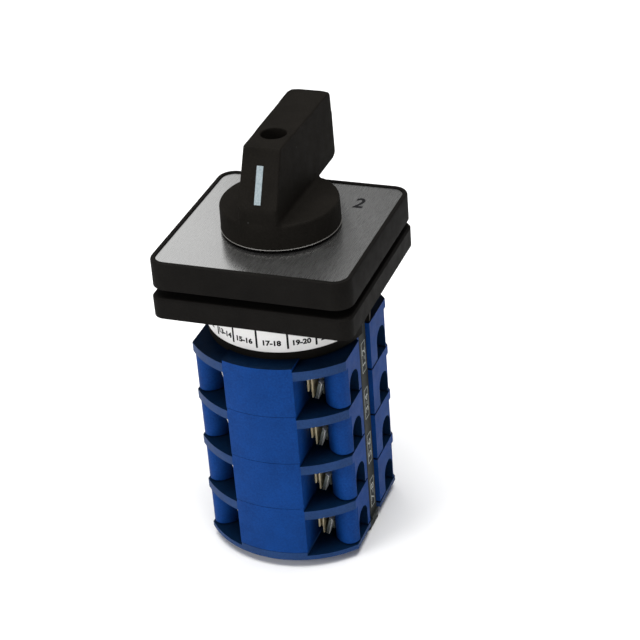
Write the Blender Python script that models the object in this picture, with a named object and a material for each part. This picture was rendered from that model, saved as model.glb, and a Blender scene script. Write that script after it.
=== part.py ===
"""Three-position cam switch for a panel: four contact stages in blue moulded
housings, a black detent housing with a wrapped label band, a mounting plate,
a front frame with an aluminium label plate, and a lever handle.

Lengths below are millimetres and are scaled to metres where meshes are made.
Frame: origin in the rear face on the shaft's axis, +Z towards the handle,
-Y towards the side that carries the handle's indicator line.
"""

import math

import bmesh
import bpy
from mathutils import Matrix, Vector

MM = 0.001
GAP = 0.3  # clearance between neighbouring pieces

# ---- driving dimensions ----------------------------------------------------
PLATE = 48.0  # side of the square mounting plate and of the front frame
PITCH = 13.0  # height of one contact stage
STAGES = 4
RIM_GAP = 0.5  # open slit between a stage's rim and the stage above

Z_PAD = 0.0
Z_COVER_RIM = 2.25
Z_STAGE0 = 4.0  # bottom of the lowest stage
Z_HOUSING = Z_STAGE0 + STAGES * PITCH  # 56.0
Z_LABEL = 58.45
Z_PLATE = 66.9
Z_PLATE_TOP = 72.1
Z_FRAME = 74.4
Z_FRAME_TOP = 81.2
Z_LABEL_PLATE = 80.9  # top face of the aluminium plate
Z_SKIRT = 81.65
Z_SKIRT_TOP = 87.8
Z_LEVER_TOP = 104.1

# outline of stages and rear cover: two flats and two large arcs
FLAT_X = 18.92
ARC_R = 24.76
ARC_Y = 1.31  # the front arc's centre; the rear one is mirrored
ARC_STEPS = 14

# side channel for the locking strip; its shallow shoulder is on one side only
VALLEY = 5.3
VALLEY_DEPTH = 1.0
STRIP_W = 5.0
STRIP_FACE = 17.95
STRIP_T = 0.75
STRIP_FOOT = (-5.2, 2.0)  # the foot's span in y, right side
STRIP_FOOT_X = 18.5

# inside of a stage
CEILING = 10.1  # height of the chambers' ceiling over the stage's bottom
CAM_BORE = 8.4
WINDOW_X = 8.55  # centre-side wall of a wire window
SLOT_X = 12.9  # outer wall of the terminal slot
TERMINAL_Z = 4.2  # height of the terminal screw's axis over the stage's bottom
TERMINAL_Y = 10.1
NOTCH_R = 3.05
NOTCH_DEPTH = 3.9
CHANNEL_Y = 7.0
WALL = 0.8  # between the contact channel and the terminal slots
CHANNEL_X = 13.8
LAND = 0.45  # depth of the seat for the raised key of the stage below
LAND_X = 8.25
LAND_Y = 9.5
PLUNGER_BAY_Y = 2.8
PLUNGER_BAY_X = 16.0

# shaft, cams and contacts
SHAFT = 6.0
SQUARE_HOLE = SHAFT + 2 * GAP
SHAFT_HOLE_R = 4.7
CAM_R = 6.7
CAM_LIFT = 1.0  # travel of a contact for 45 degrees of the handle
CAM_RAMP = 52.0  # half length of a ramp, degrees
PLUNGER_TIP = CAM_R + 0.35
BOLT_Y = 15.0
BOLT_R = 1.6
BOLT_HOLE_R = 2.1

# detent
WHEEL_R = 8.05
WHEEL_WAVE = 0.45
ROLLER_R = 2.2
ROLLER_X = WHEEL_R + WHEEL_WAVE + GAP + ROLLER_R

# handle
SKIRT_R = 13.9
LEVER_HALF = 4.45  # half width at the top's front edge
LEVER_WIDEN_Y = 0.0171  # half width gained per millimetre to the rear
LEVER_WIDEN_Z = 0.025  # and per millimetre down
LEVER_FRONT_TOP = -7.5
LEVER_FRONT_FOOT = -13.5
LEVER_FOOT_Z = 91.3
LEVER_REAR = 24.6
LEVER_UNDER = 87.7
SCREW_HOLE_R = 3.0
SCREW_SEAT = 94.6


# ---- helpers ---------------------------------------------------------------
def clear_scene():
    for obj in list(bpy.data.objects):
        bpy.data.objects.remove(obj, do_unlink=True)


def material(name, colour, roughness, metallic=0.0):
    mat = bpy.data.materials.new(name)
    mat.use_nodes = True
    shader = mat.node_tree.nodes["Principled BSDF"]
    shader.inputs["Base Color"].default_value = (*colour, 1.0)
    shader.inputs["Roughness"].default_value = roughness
    shader.inputs["Metallic"].default_value = metallic
    mat.diffuse_color = (*colour, 1.0)
    return mat


def from_rings(name, rings, looped=False):
    """A closed mesh through rings of equal length, with flat caps on the first
    and the last ring, or joined end to start where looped."""
    bm = bmesh.new()
    rows = [[bm.verts.new([c * MM for c in p]) for p in ring] for ring in rings]
    count = len(rows[0])
    pairs = list(zip(rows, rows[1:]))
    if looped:
        pairs.append((rows[-1], rows[0]))
    for low, high in pairs:
        for i in range(count):
            j = (i + 1) % count
            bm.faces.new((low[i], low[j], high[j], high[i]))
    if not looped:
        bm.faces.new(list(reversed(rows[0])))
        bm.faces.new(rows[-1])
    bmesh.ops.recalc_face_normals(bm, faces=bm.faces)
    if bm.calc_volume(signed=True) < 0:
        bmesh.ops.reverse_faces(bm, faces=bm.faces)
    mesh = bpy.data.meshes.new(name)
    bm.to_mesh(mesh)
    bm.free()
    obj = bpy.data.objects.new(name, mesh)
    bpy.context.scene.collection.objects.link(obj)
    return obj


def prism(name, outline, low, high, axis="Z"):
    """Extrudes an outline along an axis; the outline's two coordinates are the
    other two axes in order."""
    place = {
        "Z": lambda p, h: (p[0], p[1], h),
        "Y": lambda p, h: (p[0], h, p[1]),
        "X": lambda p, h: (h, p[0], p[1]),
    }[axis]
    return from_rings(name, [[place(p, h) for p in outline] for h in (low, high)])


def block(name, x, y, z):
    return prism(name, [(x[0], y[0]), (x[1], y[0]), (x[1], y[1]), (x[0], y[1])], *z)


def circle(radius, steps, centre=(0.0, 0.0), start=0.0, sweep=360.0):
    count = steps if sweep == 360.0 else steps + 1
    angles = [math.radians(start + sweep * i / steps) for i in range(count)]
    return [
        (centre[0] + radius * math.cos(a), centre[1] + radius * math.sin(a))
        for a in angles
    ]


def turned(name, profile, steps=40, centre=(0.0, 0.0)):
    """A solid of revolution about a vertical axis, from (radius, z) pairs."""
    rings = [[(x, y, z) for x, y in circle(r, steps, centre)] for r, z in profile]
    return from_rings(name, rings)


def rounded_square(side, radius, steps=5):
    half = side / 2 - radius
    points = []
    for quarter, (sx, sy) in enumerate(((1, 1), (-1, 1), (-1, -1), (1, -1))):
        points += circle(radius, steps, (sx * half, sy * half), 90.0 * quarter, 90.0)
    return points


def combine(target, others, operation="DIFFERENCE"):
    """Applies Booleans in order and removes the helpers."""
    for other in others:
        other.hide_render = True
        other.display_type = "WIRE"
        modifier = target.modifiers.new(other.name, "BOOLEAN")
        modifier.operation = operation
        modifier.solver = "EXACT"
        modifier.object = other
    bpy.context.view_layer.update()
    graph = bpy.context.evaluated_depsgraph_get()
    mesh = bpy.data.meshes.new_from_object(target.evaluated_get(graph))
    target.modifiers.clear()
    target.data = mesh
    for other in others:
        bpy.data.objects.remove(other, do_unlink=True)
    return target


def cut(target, *others):
    return combine(target, others, "DIFFERENCE")


def join(target, *others):
    return combine(target, others, "UNION")


def place(obj, mat, parent, origin, smooth=True):
    """Puts the object's origin at a point of the model, gives it its material
    and hangs it on its parent."""
    obj.data.transform(Matrix.Translation([-c * MM for c in origin]))
    obj.data.materials.clear()
    obj.data.materials.append(mat)
    if smooth:
        obj.data.shade_smooth()
        obj.data.set_sharp_from_angle(angle=math.radians(35))
    hang(obj, parent, origin)
    return obj


def hang(obj, parent, origin):
    obj.parent = parent
    base = parent.location if parent else Vector()
    obj.location = Vector([c * MM for c in origin]) - base


def same(mesh, name, parent, origin):
    obj = bpy.data.objects.new(name, mesh)
    bpy.context.scene.collection.objects.link(obj)
    hang(obj, parent, origin)
    return obj


def empty(name, origin):
    obj = bpy.data.objects.new(name, None)
    obj.empty_display_size = 10 * MM
    obj.location = [c * MM for c in origin]
    bpy.context.scene.collection.objects.link(obj)
    return obj


# ---- outlines --------------------------------------------------------------
def arc_y(x):
    return math.sqrt(ARC_R**2 - x**2) - ARC_Y


def body_outline(channel=True):
    """Plan of a stage: counter-clockwise from the right flat's front corner."""
    corner = arc_y(FLAT_X)
    right = [(FLAT_X, -corner)]
    if channel:
        slope = FLAT_X - VALLEY_DEPTH
        bed = STRIP_FACE - STRIP_T - GAP
        half = STRIP_W / 2 + GAP
        inner = VALLEY - VALLEY_DEPTH
        right += [(FLAT_X, -VALLEY), (slope, -inner), (slope, -half), (bed, -half)]
        right += [(bed, half), (FLAT_X, half)]
    right.append((FLAT_X, corner))
    top = []
    for i in range(1, ARC_STEPS):
        a = -1 + 2 * i / ARC_STEPS
        x = -FLAT_X * math.sin(a * math.pi / 2)
        top.append((x, arc_y(x)))
    half_outline = right + top
    return half_outline + [(-x, -y) for x, y in half_outline]


# ---- pieces ----------------------------------------------------------------
def lands(seam):
    """The two raised keys, front and rear, of the piece below a seam."""
    found = []
    for s in (-1, 1):
        xs = [LAND_X * (2 * i / 8 - 1) for i in range(9)]
        edge = [(x, s * arc_y(x)) for x in xs]
        plan = edge + [(LAND_X, s * LAND_Y), (-LAND_X, s * LAND_Y)]
        found.append(prism("land", plan, seam - 1.0, seam + LAND - GAP))
    return found


def land_recesses(base):
    """Cutters for the keys of the piece below a seam."""
    return [
        block(
            "recess",
            (-WINDOW_X - 0.05, WINDOW_X + 0.05),
            sorted((s * (LAND_Y - GAP), s * 30.0)),
            (base - 1.0, base + LAND),
        )
        for s in (-1, 1)
    ]


def stage_cutters():
    """Everything that is taken out of a stage standing at z = 0."""
    under = -1.0
    cutters = land_recesses(0.0) + [
        turned("cam_bore", [(CAM_BORE, under), (CAM_BORE, CEILING)], 36),
        turned("shaft_hole", [(SHAFT_HOLE_R, 5.0), (SHAFT_HOLE_R, 20.0)], 24),
        block(
            "bridge_channel",
            (-CHANNEL_X, CHANNEL_X),
            (-CHANNEL_Y, CHANNEL_Y),
            (under, CEILING),
        ),
        block(
            "plunger_channel",
            (-PLUNGER_BAY_X, PLUNGER_BAY_X),
            (-PLUNGER_BAY_Y, PLUNGER_BAY_Y),
            (under, CEILING),
        ),
    ]
    window = [
        (WINDOW_X, -CHANNEL_Y - WALL),
        (SLOT_X, -CHANNEL_Y - WALL),
        (SLOT_X, -13.4),
        (14.5, -15.0),
        (16.4, -15.7),
        (17.6, -15.4),
        (18.4, -14.6),
        (18.85, -13.5),
        (20.3, -13.5),
        (20.3, -27.0),
        (WINDOW_X, -27.0),
    ]
    notch = [(-NOTCH_R, under), (NOTCH_R, under)] + circle(
        NOTCH_R, 12, (0.0, TERMINAL_Z), 0.0, 180.0
    )
    for sx in (1, -1):
        for sy in (1, -1):
            plan = [(sx * x, sy * y) for x, y in window]
            cutters.append(prism("window", plan, under, CEILING))
            passage = (-CHANNEL_Y - WALL - 0.5, -CHANNEL_Y + 0.5)
            cutters.append(
                block(
                    "passage",
                    sorted((sx * 9.3, sx * 10.9)),
                    sorted(sy * y for y in passage),
                    (under, 7.0),
                )
            )
            face = sorted((sx * (FLAT_X - NOTCH_DEPTH), sx * 25.0))
            side = [(sy * TERMINAL_Y + y, z) for y, z in notch]
            cutters.append(prism("notch", side, *face, axis="X"))
            through = sorted((sx * (SLOT_X - 1.0), sx * (FLAT_X - NOTCH_DEPTH + 1.0)))
            hole = circle(1.9, 16, (sy * TERMINAL_Y, TERMINAL_Z))
            cutters.append(prism("screw_hole", hole, *through, axis="X"))
    for sy in (1, -1):
        cutters.append(
            turned(
                "bolt_hole",
                [(BOLT_HOLE_R, under), (BOLT_HOLE_R, 20.0)],
                20,
                (0.0, sy * BOLT_Y),
            )
        )
    return cutters


def cam_outline(sign):
    """Two linear ramps facing the contacts, so that the travel of each contact
    is in proportion to the handle's angle."""
    points = []
    count = 72
    for i in range(count):
        degrees = 360.0 * i / count
        off = degrees if degrees <= 180.0 else degrees - 360.0
        off = off if abs(off) <= 90.0 else math.copysign(180.0, off) - off
        off = max(-CAM_RAMP, min(CAM_RAMP, off))
        radius = CAM_R + sign * CAM_LIFT * off / 45.0
        angle = math.radians(degrees)
        points.append((radius * math.cos(angle), radius * math.sin(angle)))
    return points


def plunger(name, sx, z0):
    nose = [
        (PLUNGER_TIP, -0.5),
        (7.6, -1.3),
        (8.6, -1.7),
        (9.0, -2.2),
        (14.8, -2.2),
        (14.8, 2.2),
        (9.0, 2.2),
        (8.6, 1.7),
        (7.6, 1.3),
        (PLUNGER_TIP, 0.5),
    ]
    body = prism(name, [(sx * x, y) for x, y in nose], z0 + 1.2, z0 + 7.2)
    slot = block(
        "slot", sorted((sx * 11.4, sx * 14.2)), (-4.0, 4.0), (z0 + 1.9, z0 + 5.9)
    )
    return cut(body, slot)


def bridge(name, sx, z0):
    """The moving contact: a bar with a silver tip at each end facing inwards."""
    bar = [
        (11.7, -6.0),
        (12.5, -6.0),
        (12.5, 6.0),
        (11.7, 6.0),
        (11.7, 3.6),
        (11.9, 3.4),
        (11.9, -3.4),
        (11.7, -3.6),
    ]
    return prism(name, [(sx * x, y) for x, y in bar], z0 + 2.2, z0 + 5.6)


def terminal(name, sx, sy, z0):
    """The fixed contact: a tip in the contact channel, a clamp body in the
    wire slot, and a forked end that shows in the wire window."""
    plan = [
        (9.6, -3.2),
        (10.6, -3.2),
        (10.6, -8.4),
        (10.3, -8.7),
        (10.3, -13.9),
        (9.8, -13.9),
        (9.8, -11.6),
        (9.35, -11.6),
        (9.35, -13.9),
        (8.85, -13.9),
        (8.85, -8.2),
        (9.6, -8.2),
    ]
    return prism(name, [(sx * x, sy * y) for x, y in plan], z0 + 1.2, z0 + 6.6)


def handle_body():
    skirt = turned(
        "handle",
        [
            (SKIRT_R, Z_SKIRT),
            (SKIRT_R - 0.1, Z_SKIRT_TOP - 0.8),
            (SKIRT_R - 0.3, Z_SKIRT_TOP - 0.25),
            (SKIRT_R - 0.75, Z_SKIRT_TOP),
        ],
        48,
    )
    side = [
        (LEVER_FRONT_FOOT + 0.4, 85.0),
        (8.0, 85.0),
        (8.0, LEVER_UNDER),
        (LEVER_REAR - 0.4, LEVER_UNDER),
        (LEVER_REAR, LEVER_UNDER + 0.4),
        (LEVER_REAR, Z_LEVER_TOP - 0.8),
        (LEVER_REAR - 0.2, Z_LEVER_TOP - 0.25),
        (LEVER_REAR - 0.75, Z_LEVER_TOP),
        (LEVER_FRONT_TOP + 0.4, Z_LEVER_TOP),
        (LEVER_FRONT_TOP - 0.15, Z_LEVER_TOP - 0.35),
        (LEVER_FRONT_FOOT, LEVER_FOOT_Z),
        (LEVER_FRONT_FOOT - 0.1, 89.0),
    ]

    def half(y, z):
        widened = LEVER_WIDEN_Y * (y - LEVER_FRONT_TOP) + LEVER_WIDEN_Z * (Z_LEVER_TOP - z)
        return LEVER_HALF + widened

    lever = from_rings(
        "lever", [[(s * half(y, z), y, z) for y, z in side] for s in (1, -1)]
    )
    hub = turned("hub", [(8.0, 78.6), (8.0, 84.5)], 32)
    join(skirt, lever, hub)

    groove = from_rings(
        "groove",
        [
            [(x, y, z) for x, y in circle(r, 48)]
            for r, z in ((8.5, 80.0), (12.1, 80.0), (12.1, 85.8), (8.5, 85.8))
        ],
        looped=True,
    )
    socket = block(
        "socket",
        (-SQUARE_HOLE / 2, SQUARE_HOLE / 2),
        (-SQUARE_HOLE / 2, SQUARE_HOLE / 2),
        (77.0, 92.3),
    )
    screw = turned("screw_way", [(1.8, 91.0), (1.8, 96.0)], 20)
    counterbore = turned("counterbore", [(SCREW_HOLE_R, SCREW_SEAT), (SCREW_HOLE_R, 110.0)], 32)
    inlay = indicator_box("inlay", 1.08, 92.2, 100.7, 0.8, 2.0)
    return cut(skirt, groove, socket, screw, counterbore, inlay)


def indicator_box(name, half, z_low, z_high, depth, proud):
    """A bar lying in the lever's sloping front face between two heights."""
    along = Vector(
        (0.0, LEVER_FRONT_TOP - LEVER_FRONT_FOOT, Z_LEVER_TOP - LEVER_FOOT_Z)
    ).normalized()
    out = Vector((0.0, -along.z, along.y))
    foot = Vector((0.0, LEVER_FRONT_FOOT, LEVER_FOOT_Z))
    low = foot + along * ((z_low - LEVER_FOOT_Z) / along.z)
    high = foot + along * ((z_high - LEVER_FOOT_Z) / along.z)
    section = [low - out * depth, high - out * depth, high + out * proud, low + out * proud]
    return from_rings(name, [[(s * half, p.y, p.z) for p in section] for s in (1, -1)])


def front_frame():
    body = from_rings(
        "front_frame",
        [
            [(x, y, z) for x, y in rounded_square(side, radius)]
            for side, radius, z in (
                (PLATE, 4.2, Z_FRAME),
                (PLATE - 0.1, 4.1, Z_FRAME_TOP - 0.4),
                (PLATE - 0.4, 4.0, Z_FRAME_TOP),
            )
        ],
    )
    hollow = prism("hollow", rounded_square(PLATE - 4.4, 2.4), 70.0, 78.0)
    recess = prism("recess", rounded_square(PLATE - 2.1, 3.1), 80.1, 85.0)
    collar = turned("collar", [(16.3, 75.0), (16.3, 79.0)], 40)
    bore = turned("bore", [(14.3, 70.0), (14.3, 78.0)], 40)
    hole = turned("hole", [(9.0, 76.0), (9.0, 84.0)], 32)
    cut(body, hollow, recess)
    join(body, collar)
    return cut(body, bore, hole)


def mounting_plate():
    body = from_rings(
        "mounting_plate",
        [
            [(x, y, z) for x, y in rounded_square(side, radius)]
            for side, radius, z in (
                (PLATE - 0.2, 3.0, Z_PLATE),
                (PLATE, 3.1, Z_PLATE + 0.2),
                (PLATE, 3.1, Z_PLATE_TOP - 0.5),
                (PLATE - 0.8, 2.7, Z_PLATE_TOP),
            )
        ],
    )
    hollow = prism("hollow", rounded_square(PLATE - 4.4, 2.0), 60.0, 69.4)
    hub = turned("hub", [(20.2, Z_PLATE), (20.2, 70.5)], 48)
    boss = turned("boss", [(14.0, 71.0), (14.0, 77.2), (13.5, 77.7)], 40)
    cut(body, hollow)
    join(body, hub, boss)
    cutters = [turned("shaft_hole", [(5.0, 60.0), (5.0, 80.0)], 28)]
    for sy in (1, -1):
        cutters.append(
            turned(
                "bolt_thread",
                [(BOLT_HOLE_R, 60.0), (BOLT_HOLE_R, 69.5)],
                20,
                (0.0, sy * BOLT_Y),
            )
        )
        for sx in (1, -1):
            cutters.append(
                turned("panel_screw", [(2.0, 60.0), (2.0, 75.0)], 20, (sx * 18.0, sy * 18.0))
            )
    return cut(body, *cutters)


def detent_housing():
    body = turned(
        "detent_housing", [(19.0, Z_HOUSING), (19.0, Z_PLATE - GAP)], 56
    )
    top = 70.0
    cutters = [
        turned("cavity", [(12.2, 58.0), (12.2, top)], 36),
        block("roller_bay", (-16.0, 16.0), (-2.8, 2.8), (58.0, top)),
        turned("shaft_hole", [(SHAFT_HOLE_R, 50.0), (SHAFT_HOLE_R, 60.0)], 24),
    ]
    cutters += land_recesses(Z_HOUSING)
    bed = STRIP_FACE - STRIP_T - GAP
    for s in (1, -1):
        cutters.append(
            block(
                "strip_channel",
                sorted((s * bed, s * 22.0)),
                (-STRIP_W / 2 - GAP, STRIP_W / 2 + GAP),
                (50.0, top),
            )
        )
        cutters.append(
            turned("bolt_hole", [(BOLT_HOLE_R, 50.0), (BOLT_HOLE_R, top)], 20, (0.0, s * BOLT_Y))
        )
    return cut(body, *cutters)


def rear_cover():
    rim = body_outline()
    pad = body_outline(channel=False)
    cover = prism("rear_cover", rim, Z_COVER_RIM, Z_STAGE0 - RIM_GAP)
    foot = prism("pad", [(0.8 * x, 0.8 * y) for x, y in pad], Z_PAD, Z_COVER_RIM + 0.6)
    join(cover, foot, *lands(Z_STAGE0))
    cutters = [turned("bearing", [(SHAFT_HOLE_R, 2.0), (SHAFT_HOLE_R, 6.0)], 28)]
    for s in (1, -1):
        cutters.append(
            turned("bolt_head", [(3.1, -1.0), (3.1, 2.0)], 24, (0.0, s * BOLT_Y))
        )
        cutters.append(
            turned("bolt_hole", [(BOLT_HOLE_R, 1.0), (BOLT_HOLE_R, 6.0)], 20, (0.0, s * BOLT_Y))
        )
    return cut(cover, *cutters)


def side_strip(name, s):
    face, back = STRIP_FACE, STRIP_FACE - STRIP_T
    bevel = 0.3
    half = STRIP_W / 2
    plan = [
        (back, -half),
        (face - bevel, -half),
        (face, -half + bevel),
        (face, half - bevel),
        (face - bevel, half),
        (back, half),
    ]
    strip = prism(name, [(s * x, y) for x, y in plan], 1.0, Z_PLATE - GAP)
    low, high = STRIP_FOOT
    end = STRIP_FOOT_X
    sole = [
        (15.6, low),
        (end - 1.2, low),
        (end - 0.35, low + 0.35),
        (end, low + 1.2),
        (end, high),
        (15.6, high),
    ]
    foot = prism("foot", [(s * x, s * y) for x, y in sole], 0.3, Z_COVER_RIM - GAP)
    heel = block(
        "heel",
        sorted((s * (back + 0.1), s * end)),
        sorted((s * (-half + 0.2), s * high)),
        (1.5, Z_COVER_RIM + 0.5),
    )
    return join(strip, foot, heel)


def build():
    clear_scene()
    blue = material("blue_plastic", (0.016, 0.09, 0.34), 0.42)
    black = material("black_plastic", (0.012, 0.012, 0.011), 0.45)
    grey = material("strip_plastic", (0.035, 0.04, 0.036), 0.5)
    white = material("label_film", (0.82, 0.81, 0.8), 0.4)
    pale = material("indicator_paint", (0.5, 0.58, 0.6), 0.4)
    aluminium = material("aluminium", (0.55, 0.55, 0.53), 0.3, 1.0)
    steel = material("steel", (0.6, 0.6, 0.6), 0.3, 1.0)
    brass = material("brass", (0.62, 0.5, 0.22), 0.3, 1.0)
    cream = material("cam_plastic", (0.6, 0.56, 0.46), 0.5)

    frame = empty("switch_body", (0.0, 0.0, 0.0))
    rotor = empty("shaft_axis", (0.0, 0.0, Z_LABEL_PLATE))

    # fixed pieces
    place(rear_cover(), blue, frame, (0.0, 0.0, Z_PAD))
    stage = prism("stage_4", body_outline(), 0.0, PITCH - RIM_GAP)
    join(stage, *lands(PITCH))
    place(cut(stage, *stage_cutters()), blue, frame, (0.0, 0.0, 0.0))
    stage.location.z = Z_STAGE0 * MM
    for i in range(1, STAGES):
        same(stage.data, f"stage_{STAGES - i}", frame, (0.0, 0.0, Z_STAGE0 + i * PITCH))
    place(detent_housing(), black, frame, (0.0, 0.0, Z_HOUSING))
    band = circle(19.65, 40, start=-168.0, sweep=156.0) + list(
        reversed(circle(19.3, 40, start=-168.0, sweep=156.0))
    )
    place(prism("rating_label", band, Z_LABEL, 66.4), white, frame, (0.0, 0.0, Z_LABEL))
    place(mounting_plate(), black, frame, (0.0, 0.0, Z_PLATE))
    place(front_frame(), black, frame, (0.0, 0.0, Z_FRAME))
    sheet = prism("label_plate", rounded_square(PLATE - 2.7, 2.8), Z_LABEL_PLATE - 0.5, Z_LABEL_PLATE)
    cut(sheet, turned("hole", [(9.0, 78.0), (9.0, 84.0)], 32))
    place(sheet, aluminium, frame, (0.0, 0.0, Z_LABEL_PLATE))
    place(side_strip("side_strip_right", 1), grey, frame, (STRIP_FACE, 0.0, 0.0))
    place(side_strip("side_strip_left", -1), grey, frame, (-STRIP_FACE, 0.0, 0.0))
    for side, s in (("front", -1), ("rear", 1)):
        bolt = turned(
            f"tie_bolt_{side}",
            [(2.6, 0.3), (2.8, 0.5), (2.8, 1.7), (BOLT_R, 1.7), (BOLT_R, 68.6), (1.2, 69.1)],
            20,
            (0.0, s * BOLT_Y),
        )
        place(bolt, steel, frame, (0.0, s * BOLT_Y, 0.0))

    # pieces that turn with the handle
    place(handle_body(), black, rotor, (0.0, 0.0, Z_SKIRT))
    place(
        indicator_box("handle_indicator", 0.78, 92.5, 100.4, 0.5, 0.0),
        pale,
        rotor,
        (0.0, 0.0, Z_SKIRT),
    )
    screw = turned(
        "handle_screw",
        [(1.2, 80.0), (1.5, 80.4), (1.5, 94.9), (2.6, 94.9), (2.6, 96.6), (2.2, 97.0)],
        24,
    )
    slot = block("slot", (-4.0, 4.0), (-0.4, 0.4), (96.1, 98.0))
    place(cut(screw, slot), steel, rotor, (0.0, 0.0, 94.9))
    shaft = block(
        "switch_shaft", (-SHAFT / 2, SHAFT / 2), (-SHAFT / 2, SHAFT / 2), (2.3, 92.0)
    )
    cut(shaft, turned("thread", [(1.8, 79.0), (1.8, 95.0)], 20))
    place(shaft, steel, rotor, (0.0, 0.0, 2.3))
    square = (-SQUARE_HOLE / 2, SQUARE_HOLE / 2)
    wave = []
    for i in range(96):
        a = 2 * math.pi * i / 96
        r = WHEEL_R - WHEEL_WAVE * math.cos(8 * a)
        wave.append((r * math.cos(a), r * math.sin(a)))
    wheel = prism("detent_wheel", wave, 58.5, 65.0)
    place(cut(wheel, block("bore", square, square, (50.0, 70.0))), cream, rotor, (0.0, 0.0, 58.5))

    # spring-loaded rollers of the detent
    for side, s in (("right", 1), ("left", -1)):
        roller = turned(
            f"detent_roller_{side}",
            [(1.9, 58.4), (ROLLER_R, 58.7), (ROLLER_R, 64.3), (1.9, 64.6)],
            24,
            (s * ROLLER_X, 0.0),
        )
        place(roller, steel, frame, (s * ROLLER_X, 0.0, 61.5))

    # each stage's cam, fixed contacts, moving contacts and plungers
    for i in range(STAGES):
        number = STAGES - i
        z0 = Z_STAGE0 + i * PITCH
        sign = 1 if number % 2 else -1
        cam = prism(f"cam_{number}", cam_outline(sign), z0 + 0.6, z0 + 9.6)
        cut(cam, block("bore", square, square, (z0 - 5.0, z0 + 20.0)))
        place(cam, cream, rotor, (0.0, 0.0, z0 + 0.6))
        for side, sx in (("right", 1), ("left", -1)):
            carrier = empty(f"contact_{number}_{side}", (sx * 12.1, 0.0, z0 + 3.9))
            place(
                plunger(f"plunger_{number}_{side}", sx, z0),
                cream,
                carrier,
                (sx * 12.1, 0.0, z0 + 3.9),
            )
            place(
                bridge(f"moving_contact_{number}_{side}", sx, z0),
                brass,
                carrier,
                (sx * 12.1, 0.0, z0 + 3.9),
            )
            for end, sy in (("front", 1), ("rear", -1)):
                place(
                    terminal(f"terminal_{number}_{side}_{end}", sx, sy, z0),
                    brass,
                    frame,
                    (sx * 9.6, -sy * TERMINAL_Y, z0 + TERMINAL_Z),
                )


build()
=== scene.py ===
import math

import bmesh
import bpy
import numpy as np
from mathutils import Matrix, Vector


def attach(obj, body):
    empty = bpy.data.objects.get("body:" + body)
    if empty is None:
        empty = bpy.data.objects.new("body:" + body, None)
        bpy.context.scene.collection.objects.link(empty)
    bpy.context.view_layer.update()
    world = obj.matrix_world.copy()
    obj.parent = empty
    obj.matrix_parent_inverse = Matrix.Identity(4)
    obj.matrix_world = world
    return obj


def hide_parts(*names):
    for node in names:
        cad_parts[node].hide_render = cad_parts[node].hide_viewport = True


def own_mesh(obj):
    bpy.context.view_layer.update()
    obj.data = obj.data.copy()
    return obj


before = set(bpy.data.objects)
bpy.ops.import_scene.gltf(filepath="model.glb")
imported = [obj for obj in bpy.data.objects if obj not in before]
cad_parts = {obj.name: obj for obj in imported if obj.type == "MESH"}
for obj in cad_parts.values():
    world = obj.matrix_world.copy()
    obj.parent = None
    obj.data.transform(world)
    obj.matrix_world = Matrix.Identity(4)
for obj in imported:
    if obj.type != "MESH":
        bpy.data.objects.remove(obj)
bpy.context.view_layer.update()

MM = 0.001

# ---- dimensions, in millimetres, as in the part ----------------------------
PLATE = 48.0
PITCH = 13.0
STAGES = 4
SEAM = 0.09  # line that shows between neighbouring mouldings
RIM_GAP = 0.5
Z_COVER_RIM = 2.25
Z_STAGE0 = 4.0
Z_HOUSING = 56.0
Z_LABEL = 58.45
Z_PLATE = 66.9
Z_PLATE_TOP = 72.1
Z_FRAME = 74.4
Z_FRAME_TOP = 81.2
Z_LABEL_PLATE = 80.9
Z_SKIRT = 81.65
Z_SKIRT_TOP = 87.8
Z_LEVER_TOP = 104.1
FLAT_X = 18.92
ARC_R = 24.76
ARC_Y = 1.31
VALLEY = 5.3
VALLEY_DEPTH = 1.0
STRIP_W = 5.0
STRIP_FACE = 17.95
STRIP_T = 0.75
STRIP_FOOT = (-5.2, 2.0)
STRIP_FOOT_X = 18.5
CEILING = 10.1
CAM_BORE = 8.4
WINDOW_X = 8.55
SLOT_X = 12.9
TERMINAL_Z = 4.2
TERMINAL_Y = 10.1
NOTCH_R = 3.05
NOTCH_DEPTH = 3.9
CHANNEL_Y = 7.0
WALL = 0.8
CHANNEL_X = 13.8
LAND = 0.45
LAND_Y = 9.5
PLUNGER_BAY_Y = 2.8
PLUNGER_BAY_X = 16.0
SHAFT_HOLE_R = 4.7
BOLT_Y = 15.0
BOLT_HOLE_R = 2.1
ROLLER_X = 11.0
SKIRT_R = 13.9
LEVER_HALF = 4.45
LEVER_WIDEN_Y = 0.0171
LEVER_WIDEN_Z = 0.025
LEVER_FRONT_TOP = -7.5
LEVER_FRONT_FOOT = -13.5
LEVER_FOOT_Z = 91.3
LEVER_REAR = 24.6
LEVER_UNDER = 87.7
SCREW_HOLE_R = 3.0
SCREW_SEAT = 94.6


# ---- mesh helpers ----------------------------------------------------------
def new_object(name, mesh):
    obj = bpy.data.objects.new(name, mesh)
    bpy.context.scene.collection.objects.link(obj)
    return obj


def from_rings(name, rings, looped=False):
    """A closed mesh through rings of equal length."""
    bm = bmesh.new()
    rows = [[bm.verts.new([c * MM for c in p]) for p in ring] for ring in rings]
    count = len(rows[0])
    pairs = list(zip(rows, rows[1:]))
    if looped:
        pairs.append((rows[-1], rows[0]))
    for low, high in pairs:
        for i in range(count):
            j = (i + 1) % count
            bm.faces.new((low[i], low[j], high[j], high[i]))
    if not looped:
        bm.faces.new(list(reversed(rows[0])))
        bm.faces.new(rows[-1])
    bmesh.ops.recalc_face_normals(bm, faces=bm.faces)
    if bm.calc_volume(signed=True) < 0:
        bmesh.ops.reverse_faces(bm, faces=bm.faces)
    mesh = bpy.data.meshes.new(name)
    bm.to_mesh(mesh)
    bm.free()
    return new_object(name, mesh)


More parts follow.
